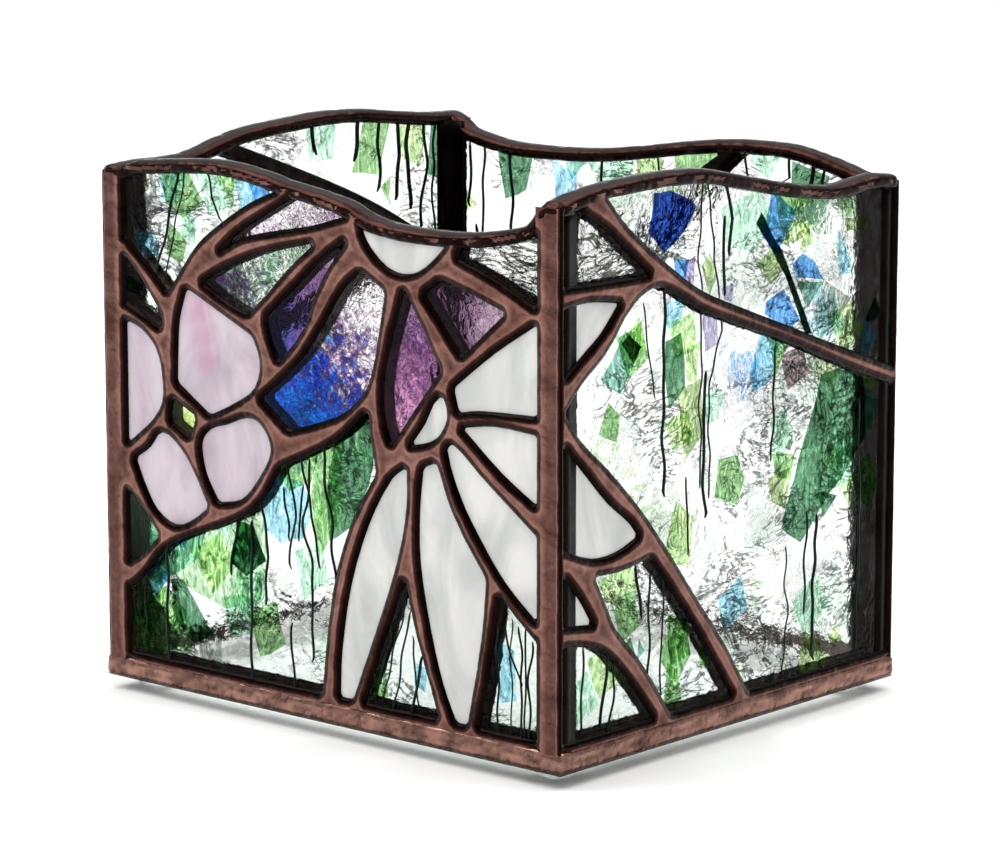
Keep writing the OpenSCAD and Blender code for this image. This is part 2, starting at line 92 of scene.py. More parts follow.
def to_world(k, u, v, depth):
    u, v, depth = np.broadcast_arrays(np.asarray(u, float), v, depth)
    xy = ORIGIN[k] + u[..., None] * ALONG[k] + depth[..., None] * INWARD[k]
    return np.concatenate([xy, v[..., None]], axis=-1).reshape(-1, 3) * MM


def node_points(node):
    mesh = NODES[node].data
    flat = np.empty(len(mesh.vertices) * 3)
    mesh.vertices.foreach_get("co", flat)
    return flat.reshape(-1, 3) / MM


def face_edges(node, k, depth):
    """Edges round the flat face that a node has at this depth of wall k: u0, v0, u1, v1."""
    u, v, d = to_wall(k, node_points(node))
    flat = np.abs(d - depth) < 0.02
    keys = [(round(a, 3), round(b, 3)) for a, b in zip(u, v)]
    count = {}
    for poly in NODES[node].data.polygons:
        ring = list(poly.vertices)
        if flat[ring].all():
            for a, b in zip(ring, ring[1:] + ring[:1]):
                a, b = keys[a], keys[b]
                sign = 1 if a < b else -1
                pair = (a, b) if a < b else (b, a)
                count[pair] = count.get(pair, 0) + sign
    return [(*a, *b) if n > 0 else (*b, *a) for (a, b), n in count.items() if n]


def outline(node, k, depth):
    """The outline of a pane as one anticlockwise ring."""
    step = {(a, b): (c, d) for a, b, c, d in face_edges(node, k, depth)}
    at = next(iter(step))
    ring = [at]
    while step[ring[-1]] != at and len(ring) <= len(step):
        ring.append(step[ring[-1]])
    return anticlockwise(ring)


def anticlockwise(ring):
    area = sum(a[0] * b[1] - b[0] * a[1] for a, b in zip(ring, ring[1:] + ring[:1]))
    return ring if area > 0 else ring[::-1]


def rim_line(k):
    """Top edge of wall k as rising u with its height."""
    u, v, d = to_wall(k, node_points(WALL_NAME[k] + "_rim_bead"))
    top = {}
    for a, b in zip(np.round(u[d < 0], 2), v[d < 0]):
        top[a] = max(b, top.get(a, 0))
    us = sorted(top)
    return np.array(us), np.array([top[a] for a in us])


RIM = [rim_line(k) for k in range(4)]


def rim_height(k, u):
    return np.interp(u, *RIM[k])


def waves(seed, size, count=10):
    """A smooth random function of two lengths, about -1 to 1, with features of this size."""
    pick = random.Random(seed)
    terms = [(pick.uniform(0, math.tau), 1 / pick.uniform(0.7, 1.5) / size,
              pick.uniform(0, math.tau)) for _ in range(count)]

    def value(a, b):
        total = sum(np.sin(math.tau * f * (a * math.cos(t) + b * math.sin(t)) + p)
                    for t, f, p in terms)
        return total / math.sqrt(count)
    return value


# ---- meshes ---------------------------------------------------------------------------
def add_piece(name, verts, faces, material, crown=None, smooth=True):
    mesh = bpy.data.meshes.new(name)
    mesh.from_pydata([tuple(v) for v in verts], [], [tuple(f) for f in faces])
    mesh.polygons.foreach_set("use_smooth", [smooth] * len(mesh.polygons))
    if crown is not None:
        mesh.attributes.new("crown", "FLOAT", "POINT").data.foreach_set("value", crown)
    mesh.materials.append(material)
    mesh.update()
    obj = bpy.data.objects.new(name, mesh)
    bpy.context.scene.collection.objects.link(obj)
    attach(obj, "root")
    return obj


def merged(parts):
    """Joins (verts, faces, crown) parts into one."""
    verts, faces, crown = [], [], []
    for v, f, c in parts:
        base = len(verts)
        verts.extend(v)
        faces.extend([tuple(i + base for i in face) for face in f])
        crown.extend(c)
    return verts, faces, crown


def loft(rings, crowns, closed_path=False):
    """Skins rings of equal length into a tube, capped unless the path closes."""
    n, m = len(rings), len(rings[0])
    verts = [p for ring in rings for p in ring]
    crown = [c for row in crowns for c in row]
    faces = []
    for i in range(n if closed_path else n - 1):
        a, b = i * m, (i + 1) % n * m
        faces += [(a + j, a + (j + 1) % m, b + (j + 1) % m, b + j) for j in range(m)]
    if not closed_path:
        faces += [tuple(range(m - 1, -1, -1)), tuple(range((n - 1) * m, n * m))]
    return verts, faces, crown


# ---- solder beads on the faces of a wall -------------------------------------------------
def inside_grid(edges, us, vs):
    inside = np.zeros((len(vs), len(us)), bool)
    for u0, v0, u1, v1 in edges:
        if v0 == v1:
            continue
        first, last = np.searchsorted(vs, [min(v0, v1), max(v0, v1)])
        for j in range(first, last):
            cross = u0 + (vs[j] - v0) * (u1 - u0) / (v1 - v0)
            inside[j, np.searchsorted(us, cross):] ^= True
    return inside


def nearest_edge(edges, us, vs, reach):
    """Distance from each grid point to the nearest edge, and the point on that edge."""
    gu, gv = np.meshgrid(us, vs)
    dist = np.full(gu.shape, float(reach))
    near_u, near_v = gu.copy(), gv.copy()
    for u0, v0, u1, v1 in edges:
        i0, i1 = np.searchsorted(us, [min(u0, u1) - reach, max(u0, u1) + reach])
        j0, j1 = np.searchsorted(vs, [min(v0, v1) - reach, max(v0, v1) + reach])
        part = (slice(j0, j1), slice(i0, i1))
        du, dv = u1 - u0, v1 - v0
        t = ((gu[part] - u0) * du + (gv[part] - v0) * dv) / (du * du + dv * dv + 1e-9)
        t = np.clip(t, 0, 1)
        pu, pv = u0 + t * du, v0 + t * dv
        d = np.hypot(gu[part] - pu, gv[part] - pv)
        closer = d < dist[part]
        dist[part][closer] = d[closer]
        near_u[part][closer] = pu[closer]
        near_v[part][closer] = pv[closer]
    return dist, near_u, near_v


def open_spans(touching, low, high):
    """What is left of low..high between the spans where something touches."""
    spans, at = [], low
    for a, b in sorted(touching):
        if a > at + 0.01:
            spans.append((at, a))
        at = max(at, b)
    return spans + ([(at, high)] if high > at else [])


def bead_region(k, outer, side, foot):
    """Free edges of the solder on one face of wall k, and the strips beside its corners."""
    w = LENGTH[k]
    raw = face_edges(WALL_NAME[k] + "_solder", k, 0 if outer else WALL_DEPTH)
    free, touching = [], {side: [], w - side: []}
    for edge in raw:
        u0, v0, u1, v1 = edge
        at_side = [s for s in touching if abs(u0 - s) < 0.03 and abs(u1 - s) < 0.03]
        at_top = (v0 > rim_height(k, u0) - RIM_DROP - 0.12
                  and v1 > rim_height(k, u1) - RIM_DROP - 0.12)
        at_foot = max(v0, v1) < foot + 0.03
        if at_side:
            touching[at_side[0]].append((min(v0, v1), max(v0, v1)))
        elif not at_top and not at_foot:
            free.append(edge)
    for s, spans in touching.items():
        top = float(rim_height(k, s)) - RIM_DROP
        free += [(s, a, s, b) for a, b in open_spans(spans, foot, top)]
    return raw, free


def bead_sheet(k, outer, cell):
    """One face of the solder of wall k as a sheet of round beads: verts, faces, crown."""
    w = LENGTH[k]
    side = (CORNER_WIDE if k % 2 == 0 else CORNER_NARROW) if outer else INNER_SIDE
    foot = BASE_TOP if outer else INNER_SILL
    raw, free = bead_region(k, outer, side, foot)
    low, high = (0, w) if outer else (side - 1.2, w - side + 1.2)
    us = np.linspace(low, high, int((high - low) / cell))
    vs = np.arange(foot, ABOVE_RIMS, cell)
    gu, gv = np.meshgrid(us, vs)
    limit = rim_height(k, gu) - SHEET_STOP
    if outer and k % 2 == 0:  # the posts run up to the rims of the side walls
        limit = np.where(gu <= side, post_top(k, 0) - SHEET_STOP, limit)
        limit = np.where(gu >= w - side, post_top(k, 1) - SHEET_STOP, limit)
    solid = inside_grid(raw, us, vs)
    strip = ((gu <= side) | (gu >= w - side)) & (gv <= limit)
    under_rim = (gv >= rim_height(k, gu) - RIM_DROP - 0.05) & (gv <= limit)
    solid = solid | strip | under_rim
    dist, near_u, near_v = nearest_edge(free, us, vs, EDGE_REACH)
    rise = (BEAD_SHARE * np.clip(dist / BEAD_HALF, 0, 1)
            + WIDE_SHARE * np.clip(dist / WIDE_HALF, 0, 1))
    if outer:  # the corner rolls over too
        rise = np.minimum(rise, np.clip(np.minimum(gu, w - gu) / CORNER_ROLL + 0.1, 0, 1))
    lumps = 1 + 0.09 * waves(k * 7 + outer, 5.5)(gu, gv) + 0.04 * waves(k + 31, 2.0)(gu, gv)
    full = BEAD_OUT if outer else BEAD_IN
    height = full * np.sqrt(1 - (1 - rise) ** 2) * np.clip(lumps, 0.75, 1.1)
    snap = ~solid & (dist < 1.6 * cell)
    gu, gv = np.where(snap, near_u, gu), np.where(snap, near_v, gv)
    height = np.where(solid, height, 0)
    count = (solid[:-1, :-1].astype(int) + solid[1:, :-1] + solid[:-1, 1:] + solid[1:, 1:])
    good = (solid | snap)
    good = good[:-1, :-1] & good[1:, :-1] & good[:-1, 1:] & good[1:, 1:] & (count > 0)
    # rise also goes out as the crown attribute, which sets the painted highlight in the solder colour
    return sheet_mesh(k, outer, gu, gv, height, rise * solid, good)


def post_top(k, end):
    """Height of the side wall's rim at the start or the end of the front or back wall."""
    beside = (k + 1) % 4 if end else (k + 3) % 4
    return float(rim_height(beside, 0 if end else LENGTH[beside]))


def sheet_mesh(k, outer, gu, gv, height, crown, good):
    index = np.arange(gu.size).reshape(gu.shape)
    j, i = np.nonzero(good)
    quads = np.column_stack([index[j, i], index[j, i + 1], index[j + 1, i + 1],
                             index[j + 1, i]])
    if not outer:
        quads = quads[:, ::-1]
    used, flat = np.unique(quads, return_inverse=True)
    depth = GLASS_OUT - height if outer else GLASS_IN + height
    verts = to_world(k, gu.ravel()[used], gv.ravel()[used], depth.ravel()[used])
    return verts.tolist(), flat.reshape(-1, 4).tolist(), crown.ravel()[used].tolist()


def build_wall_solder(k, seen):
    """seen is True for the two walls with the flowers, which get a finer mesh."""
    name = WALL_NAME[k]
    outer = bead_sheet(k, True, 0.3 if seen else 0.4)
    inner = bead_sheet(k, False, 0.45)
    verts, faces, crown = merged([outer, inner])
    piece = add_piece(name + "_solder_beads", verts, faces, SOLDER, crown)
    # painted shade: the inner sheet gets the solder painted dark for the shade inside the box
    piece.data.materials.append(SHADE_PAINTED_SOLDER)
    marks = [0] * len(outer[1]) + [1] * len(inner[1])
    piece.data.polygons.foreach_set("material_index", marks)
    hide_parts(name + "_solder")


# ---- rims, corners and the base edge -----------------------------------------------------
# half of the section of a rim bead: across from its middle, up from its top
RIM_SECTION = [(1.45, -2.45), (1.85, -2.35), (2.12, -2.05), (2.25, -1.6), (2.22, -1.1),
               (2.02, -0.65), (1.62, -0.3), (1.05, -0.1), (0.5, -0.02)]
RIM_MIDDLE = 1.2      # depth of the middle of that section, about which it swells
RIM_HALF_MAX = 2.32   # it never gets wider than this
RIM_CROWN = 0.68      # crown value on its top
RIM_LOOK = 0.8        # distance to each side over which its slope is taken
RIM_END = 0.9         # length of its rounded ends


def rim_top(k, u):
    """Height of the rim bead. The front and back ones run up to the side rims in a blob."""
    top = rim_height(k, u)
    if k % 2 == 0:
        for end, gap in ((0, u), (1, LENGTH[k] - u)):
            top = top + (post_top(k, end) - top) * smooth_step((8.5 - gap) / 5.5)
    return top


def smooth_step(t):
    t = np.clip(t, 0, 1)
    return t * t * (3 - 2 * t)


def build_rim(k):
    section = [(-a, z) for a, z in RIM_SECTION] + [(0, 0)] + RIM_SECTION[::-1]
    a = np.array([p[0] for p in section])
    z = np.array([p[1] for p in section])
    us = np.linspace(0.1, LENGTH[k] - 0.1, int(LENGTH[k] / 0.5))
    lump, fine = waves(k + 50, 6.5), waves(k + 60, 1.9)
    rings, crowns = [], []
    for u in us:
        end = math.sqrt(max(0.03, 1 - (1 - min(1, min(u, LENGTH[k] - u) / RIM_END)) ** 2))
        ahead = rim_top(k, u + RIM_LOOK) - rim_top(k, u - RIM_LOOK)
        slope = math.atan2(ahead, 2 * RIM_LOOK)
        swell = end * (1 + 0.045 * lump(u, a) + 0.025 * fine(u, a + z))
        top = rim_top(k, u)
        drop = (z + RIM_MIDDLE) * np.minimum(swell, 1) - RIM_MIDDLE
        across = np.clip(a * swell, -RIM_HALF_MAX, RIM_HALF_MAX)
        rings.append(to_world(k, u - drop * math.sin(slope), top + drop * math.cos(slope),
                              WALL_DEPTH / 2 + across).tolist())
        # painted highlight and painted shade: the crown value falls to nothing down the sides of the
        # rim and rises to RIM_CROWN on its top, which picks a paler solder colour there
        crowns.append((RIM_CROWN * np.clip((z + 2.4) / 1.6, 0, 1)).tolist())
    verts, faces, crown = loft(rings, crowns)
    piece = add_piece(WALL_NAME[k] + "_rim_solder", verts, faces, SOLDER, crown)
    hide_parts(WALL_NAME[k] + "_rim_bead")


def corner_section():
    """The core of a corner and its inner fillet, as (along x, along y) from the corner."""
    core = [(0.5, 0.5), (4.25, 0.5), (4.25, 3.7), (7.2, 3.7), (7.2, 4.15)]
    arc = [(7.2 - 3.0 * math.sin(t), 7.2 - 3.0 * math.cos(t))
           for t in np.linspace(0.12, math.pi / 2 - 0.12, 9)]
    return core + arc + [(4.15, 7.2), (3.7, 7.2), (3.7, 4.25), (0.5, 4.25)]


FILLET_POINTS = range(5, 14)  # the points of corner_section() on the arc


def build_corner(sx, sy, name, top):
    """The upright corner on the sides sx and sy (-1 or 1), up to just below top."""
    section = corner_section()
    wobble = waves(len(name), 4.0)
    rings, crowns = [], []
    for z in np.linspace(BASE_TOP, top - 1.4, 44):
        ring = []
        for i, (a, b) in enumerate(section):
            if i in FILLET_POINTS:
                push = 0.12 * wobble(i * 0.8, z)
                a, b = a + push, b + push
            ring.append((sx * (HALF[0] - a) * MM, sy * (HALF[1] - b) * MM, z * MM))
        rings.append(ring if sx * sy > 0 else ring[::-1])
        crowns.append([0.5] * len(ring))
    verts, faces, crown = loft(rings, crowns)
    # painted shade: the corner cores and fillets get the solder painted dark for the shade inside the
    # box
    piece = add_piece(name + "_solder", verts, faces, SHADE_PAINTED_SOLDER, crown)
    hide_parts(name)


# section of the edge of the base plate: out from its edge, height above its underside
EDGE_SECTION = [(-2.1, 0.02), (-1.1, 0.0), (-0.45, 0.1), (-0.12, 0.45), (0.0, 1.0), (0.0, 1.7),
                (-0.03, 2.4), (-0.12, 2.95), (-0.32, 3.35), (-0.6, 3.6), (-2.1, 3.6)]


def base_path(step=0.7, radius=0.9):
    """Points round the base plate with the outward direction at each."""
    hx, hy = (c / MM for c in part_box("base_foil")[1][:2])
    path = []
    for n in range(4):
        t0 = n * math.pi / 2
        cx = (hx - radius) * (1 if n in (0, 3) else -1)
        cy = (hy - radius) * (1 if n in (0, 1) else -1)
        for t in np.linspace(t0, t0 + math.pi / 2, 5):
            path.append((cx + radius * math.cos(t), cy + radius * math.sin(t), t))
        run = 2 * ((hx if n % 2 == 0 else hy) - radius)
        across = (-math.sin(t0 + math.pi / 2), math.cos(t0 + math.pi / 2))
        x, y, t = path[-1]
        for s in np.arange(step, run - step / 2, step):
            path.append((x + s * across[0], y + s * across[1], t))
    return path


def build_base_edge():
    """The copper edge of the base plate, lumpy and pitted, brightest above its lowest part, which is
    painted darker as the shade under the plate.
    """
    lump, pit, crowns, rings = waves(71, 5.0), waves(72, 1.6), [], []
    for x, y, t in base_path():
        ring, row = [], []
        for out, up in EDGE_SECTION:
            dent = 0.5 + 0.5 * lump(x + 0.9 * y, up * 2) + 0.45 * pit(x + y * 1.1, up * 1.3)
            o = out - 0.13 * max(0.0, dent)
            ring.append(((x + o * math.cos(t)) * MM, (y + o * math.sin(t)) * MM,
                         (BASE_LOW + up) * MM))
            # painted shade: the crown value drops over the lowest millimetre, under the plate, and is
            # a little lower in the dents
            row.append((0.9 - 0.25 * max(0, 1 - up)) * (1 - 0.14 * max(0, dent)))
        rings.append(ring)
        crowns.append(row)
    verts, faces, crown = loft(rings, crowns, closed_path=True)
    piece = add_piece("base_edge_solder", verts, faces, EDGE_SOLDER, crown)
    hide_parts("base_foil")


# ---- materials -----------------------------------------------------------------------
GLASS_IOR = 1.13  # lower than glass, so that the pale floor doesn't veil the colours


class Look:
    """A material with one Principled shader and helpers for the nodes that feed it."""

    def __init__(self, name, **settings):
        self.material = bpy.data.materials.new(name)
        self.material.use_nodes = True
        self.tree = self.material.node_tree
        self.shader = self.tree.nodes["Principled BSDF"]
        for key, value in settings.items():
            self.shader.inputs[key.replace("_", " ")].default_value = value

    def node(self, kind, links=None, **settings):
        node = self.tree.nodes.new("ShaderNode" + kind)
        for key, value in settings.items():
            setattr(node, key, value)
        for socket, value in (links or {}).items():
            if isinstance(value, bpy.types.NodeSocket):
                self.tree.links.new(value, node.inputs[socket])
            else:
                node.inputs[socket].default_value = value
        return node

    def place(self, stretch=(1, 1, 1), turn=(0, 0, 0), shift=(0, 0, 0)):
        """Object coordinates in millimetres, turned and then stretched."""
        here = self.node("TexCoord").outputs["Object"]
        turned = self.node("Mapping", {"Vector": here, "Rotation": turn}, vector_type="POINT")
        scaled = self.node("Mapping", {"Vector": turned.outputs[0], "Location": shift,
                                       "Scale": [s / MM for s in stretch]})
        return scaled.outputs[0]

    def noise(self, size, detail=3.0, distortion=0.0, place=None, roughness=0.5):
        found = place or self.place()
        return self.node("TexNoise", {"Vector": found, "Scale": 1 / size, "Detail": detail,
                                      "Distortion": distortion,
                                      "Roughness": roughness}).outputs["Fac"]

    def ramp(self, value, stops, mode="LINEAR"):
        node = self.node("ValToRGB", {"Fac": value})
        node.color_ramp.interpolation = mode
        while len(node.color_ramp.elements) < len(stops):
            node.color_ramp.elements.new(0.5)
        for element, (at, colour) in zip(node.color_ramp.elements, stops):
            element.position = at
            element.color = (*colour, 1) if len(colour) == 3 else colour
        return node.outputs["Color"]

    def grey(self, value, low, high, low_to=0.0, high_to=1.0):
        """A value stretched from low..high to low_to..high_to, and clamped."""
        return self.node("MapRange", {0: value, 1: low, 2: high, 3: low_to,
                                      4: high_to}).outputs[0]

    def mix(self, factor, a, b, blend="MIX"):
        node = self.node("Mix", data_type="RGBA", blend_type=blend)
        for socket, value in ((0, factor), (6, a), (7, b)):
            if isinstance(value, bpy.types.NodeSocket):
                self.tree.links.new(value, node.inputs[socket])
            else:
                node.inputs[socket].default_value = (
                    (*value, 1) if isinstance(value, tuple) else value)
        return node.outputs[2]

    def math(self, operation, a, b=0.0):
        return self.node("Math", {0: a, 1: b}, operation=operation).outputs[0]

    def bump(self, height, strength, distance, under=None):
        links = {"Height": height, "Strength": strength, "Distance": distance * MM}
        if under:
            links["Normal"] = under
        return self.node("Bump", links).outputs[0]

    def let_light_in(self, tint):
        """Lamps shine straight through this glass with a tint, as through a thin pane."""
        path = self.node("LightPath")
        clear = self.node("BsdfTransparent", {"Color": (*tint, 1)})
        both = self.node("MixShader", {0: path.outputs["Is Shadow Ray"],
                                       1: self.shader.outputs[0], 2: clear.outputs[0]})
        output = self.tree.nodes["Material Output"]
        self.tree.links.new(both.outputs[0], output.inputs["Surface"])

    def feed(self, **sockets):
        for key, value in sockets.items():
            self.tree.links.new(value, self.shader.inputs[key.replace("_", " ")])
        return self.material


def solder_look(name, low, mid, high, roughness=0.34):
    """Patinated solder: dark in the hollows, a painted highlight in rose on the crowns of the beads,
    painted shade deeper again on wide flat patches, with worn clouds, creases and pits."""
    look = Look(name, Metallic=1.0)
    crown = look.node("Attribute", attribute_name="crown").outputs["Fac"]
    cloud = look.noise(5.5, 4.0, 0.6)
    speck = look.noise(0.9, 5.0, 0.3)
    tone = look.math("ADD", crown, look.grey(speck, 0.35, 0.7, -0.02, 0.02))
    fold = look.noise(7.5, 1.5, 0.9)
    crease = look.grey(look.math("ABSOLUTE", look.math("SUBTRACT", fold, 0.5)), 0.0, 0.05)
    # painted highlight and painted shade: the crown attribute picks the colour, palest near 0.9 on the
    # crowns of the beads and deeper again at 1.0 on broad flat patches
    broad_painted_shade = tuple(0.7 * a + 0.3 * b for a, b in zip(mid, high))
    colour = look.ramp(tone, [(0.3, low), (0.7, mid), (0.9, high), (1.0, broad_painted_shade)])
    worn = look.ramp(cloud, [(0.3, (0.55, 0.5, 0.48)), (0.62, (1.1, 1.08, 1.05))])
    colour = look.mix(1.0, colour, worn, "MULTIPLY")
    rough = look.grey(look.noise(2.2, 4.0, 1.0), 0.3, 0.7, roughness - 0.07, roughness + 0.08)
    soft = look.bump(look.noise(4.2, 2.0, 0.6), 0.4, 0.3)
    pits = look.grey(look.noise(0.8, 2.0, 0.2), 0.28, 0.42)
    fine = look.bump(pits, 0.3, 0.08, look.bump(crease, 0.12, 0.12, soft))
    return look.feed(Base_Color=colour, Roughness=rough, Normal=fine)


def clear_look(name, tints, painted_refraction=0.0, ripple=0.5, size=4.0, squiggle=None):
    """Rippled art glass that is seen through, with faint clouds of tint, and dark veins painted in
    place of dark things seen refracted through the ripples.
    """
    look = Look(name, Transmission_Weight=1.0, IOR=GLASS_IOR, Roughness=0.02)
    cloud = look.noise(13.0, 3.0, 1.2)
    colour = look.ramp(cloud, tints)
    crackle = look.noise(size * 2.2, 4.0, 3.4, look.place((0.6, 0.6, 1.2)), roughness=0.6)
    line = look.math("ABSOLUTE", look.math("SUBTRACT", crackle, 0.5))
    # painted reflection: near-black veins in patches, standing in for dark things seen refracted
    # through the rippled glass
    if painted_refraction:
        patch = look.grey(look.noise(15.0, 2.0, 0.4), 0.5, 0.57, 0.12, 1.0)
        dark = look.math("MULTIPLY", look.grey(line, 0.018, 0.034, 1.0, 0.0), patch)
        colour = look.mix(look.math("MULTIPLY", dark, painted_refraction), colour, (0.01, 0.015, 0.015))
    if squiggle:
        swirl = look.noise(6.5, 2.5, 4.0, look.place((0.5, 0.5, 1.5)), roughness=0.55)
        band = look.math("ABSOLUTE", look.math("SUBTRACT", swirl, 0.5))
        vein = look.grey(band, 0.02, 0.045, 1.0, 0.0)
        colour = look.mix(vein, colour, squiggle)
    wide = look.bump(look.noise(size * 1.5, 2.0, 1.0), ripple, 1.6)
    tight = look.bump(look.noise(size * 0.5, 3.0, 2.0), ripple, 0.3, wide)
    look.let_light_in((0.98, 0.99, 0.98))
    return look.feed(Base_Color=colour, Normal=tight)


def streaky_look(name, k, start, end, stops, crackle=0.5, dark=0.0, clearness=0.97):
    """Streaky glass whose colours run from start to end, two points (u, v) of wall k."""
    look = Look(name, Transmission_Weight=clearness, IOR=GLASS_IOR, Roughness=0.04)
    here = look.node("TexCoord").outputs["Object"]
    a, b = (Vector(to_world(k, p[0], p[1], 2.0)[0]) for p in (start, end))
    span = b - a
    rel = look.node("VectorMath", {0: here, 1: a}, operation="SUBTRACT").outputs[0]
    run = look.node("VectorMath", {0: rel, 1: span / span.length_squared},
                    operation="DOT_PRODUCT").outputs["Value"]
    swirl = look.noise(4.2, 4.0, 1.8)
    fine = look.noise(3.2, 4.0, 3.2, roughness=0.6)
    shift = look.math("ADD", look.grey(swirl, 0.3, 0.7, -crackle / 2, crackle / 2),
                      look.grey(fine, 0.3, 0.7, -crackle / 3, crackle / 3))
    colour = look.ramp(look.math("ADD", run, shift), stops)
    if dark:
        line = look.math("ABSOLUTE", look.math("SUBTRACT", fine, 0.5))
        vein = look.math("MULTIPLY", look.grey(line, 0.01, 0.035, 1.0, 0.0), dark)
        colour = look.mix(vein, colour, (0.02, 0.012, 0.025))
    bumpy = look.bump(look.noise(3.0, 3.0, 1.5), 0.45, 0.45)
    look.let_light_in(stops[len(stops) // 2][1])
    return look.feed(Base_Color=colour, Normal=bumpy)


def opal_look(name, base, cloud, streak=None, spots=()):
    """Milky opal glass with soft wisps; spots are (wall, u, v, radius) of stronger streaks."""
    look = Look(name, Roughness=0.12, IOR=1.5, Subsurface_Weight=0.55, Subsurface_Scale=0.003)
    look.shader.inputs["Subsurface Radius"].default_value = (1, 1, 1)
    wisp = look.noise(11.0, 4.0, 1.4, look.place((1, 1, 0.45)))
    colour = look.ramp(wisp, [(0.32, cloud), (0.62, base)])
    if streak:
        fine = look.noise(3.0, 4.0, 1.0, look.place((1.3, 1.3, 0.22), turn=(0, 0.25, 0)))
        amount = look.grey(fine, 0.5, 0.75, 0.0, 0.2)
        for k, u, v, radius in spots:
            centre = Vector(to_world(k, u, v, 2.0)[0])
            here = look.node("TexCoord").outputs["Object"]
            gap = look.node("VectorMath", {0: here, 1: centre}, operation="DISTANCE")
            near = look.grey(gap.outputs["Value"], 0.0, radius * MM, 0.95, 0.0)
            glow = look.math("MULTIPLY", near, look.grey(fine, 0.3, 0.6, 0.35, 1.0))
            amount = look.math("MAXIMUM", amount, glow)
        colour = look.mix(amount, colour, streak)
    wave = look.bump(look.noise(9.0, 2.0, 0.5), 0.3, 0.3)
    return look.feed(Base_Color=colour, Normal=wave)


def flake_look():
    """Thin coloured flakes: tint by flake, with streaks and ragged paler patches, whose palest stop
    goes above 1 as a painted highlight.
    """
    look = Look("flake_glass", Transmission_Weight=0.97, IOR=1.01, Roughness=0.03)
    tint = look.node("Attribute", attribute_name="tint").outputs["Color"]
    streak = look.noise(3.2, 5.0, 2.6, look.place((1.2, 1.2, 0.6)), roughness=0.62)
    # painted highlight: the top stop multiplies the tint by up to 2.6, brighter than the light through
    # the flake; the darker stops are the flake's own streaks
    shade = look.ramp(streak, [(0.36, (0.14, 0.2, 0.16)), (0.43, (0.6, 0.68, 0.6)),
                               (0.54, (1.05, 1.1, 1.05)), (0.62, (2.6, 2.3, 2.4))])
    colour = look.mix(1.0, tint, shade, "MULTIPLY")
    look.let_light_in((0.45, 0.7, 0.55))
    return look.feed(Base_Color=colour,
                     Normal=look.bump(look.noise(1.6, 3.0, 1.0), 0.4, 0.15))


def string_look():
    look = Look("string_glass", IOR=1.3, Roughness=0.3)
    look.shader.inputs["Specular IOR Level"].default_value = 0.2
    shade = look.ramp(look.noise(6.0, 2.0), [(0.35, (0.001, 0.002, 0.002)),
                                             (0.7, (0.004, 0.02, 0.012))])
    return look.feed(Base_Color=shade,
                     Normal=look.bump(look.noise(1.0, 2.0), 0.3, 0.05))


def rubber_look():
    look = Look("clear_rubber", Transmission_Weight=0.9, IOR=1.47, Roughness=0.14)
    tone = look.ramp(look.noise(4.0, 2.0), [(0.3, (0.86, 0.9, 0.88)), (0.7, (0.95, 0.97, 0.96))])
    return look.feed(Base_Color=tone, Normal=look.bump(look.noise(0.8, 2.0), 0.15, 0.03))


def floor_look():
    look = Look("studio_floor", Roughness=0.55)
    look.shader.inputs["Specular IOR Level"].default_value = 0.25
    tone = look.ramp(look.noise(90.0, 3.0), [(0.3, (0.93, 0.93, 0.925)), (0.7, (0.95, 0.95, 0.945))])
    return look.feed(Base_Color=tone)


SOLDER = solder_look("patina_solder", (0.006, 0.003, 0.0028), (0.036, 0.015, 0.013),
                     (0.25, 0.127, 0.104), 0.22)
# the same solder painted far darker, as painted shade for the inside of the box: the inner faces of
# the walls and the inner corners
SHADE_PAINTED_SOLDER = solder_look("solder_with_painted_shade", (0.003, 0.002, 0.002), (0.008, 0.005, 0.005),
                          (0.02, 0.012, 0.011), 0.35)
EDGE_SOLDER = solder_look("edge_solder", (0.02, 0.009, 0.0075), (0.09, 0.042, 0.034),
                          (0.34, 0.185, 0.15), 0.28)
SEAM = solder_look("inner_seam", (0.022, 0.017, 0.015), (0.05, 0.035, 0.03),
                   (0.16, 0.1, 0.08), 0.3)
FOIL = solder_look("copper_foil", (0.05, 0.02, 0.014), (0.25, 0.1, 0.07), (0.5, 0.24, 0.17))

STREAKY = clear_look("streaky_glass", [(0.3, (1.0, 1.0, 1.0)), (0.56, (0.98, 1.0, 0.985)),
                                       (0.76, (0.66, 0.86, 0.7))], painted_refraction=0.95)
RIPPLE = clear_look("ripple_glass", [(0.3, (0.98, 0.98, 0.99)), (0.75, (0.9, 0.88, 0.9))],
                    ripple=0.6, size=3.6, squiggle=(0.02, 0.02, 0.012))
PLATE = clear_look("base_glass", [(0.3, (0.93, 0.97, 0.95)), (0.7, (0.97, 0.99, 0.98))],
                   ripple=0.05, size=12)
WHITE = opal_look("white_glass", (0.68, 0.67, 0.645), (0.46, 0.48, 0.47))
PINK = opal_look("pink_glass", (0.58, 0.51, 0.56), (0.40, 0.33, 0.39), (0.5, 0.17, 0.32),
                 [(FRONT, 22.5, 67.5, 5), (FRONT, 23.5, 63.5, 5), (FRONT, 24, 60, 4)])
GREEN = streaky_look("green_glass", FRONT, (5, 23), (12, 34),
                     [(0.1, (0.02, 0.12, 0.05)), (0.5, (0.1, 0.4, 0.2)), (0.9, (0.6, 0.85, 0.6))])
LIME = streaky_look("lime_glass", FRONT, (15, 46), (22, 52),
                    [(0.1, (0.12, 0.25, 0.05)), (0.5, (0.55, 0.7, 0.22)),
                     (0.95, (0.9, 0.95, 0.6))], dark=0.4)
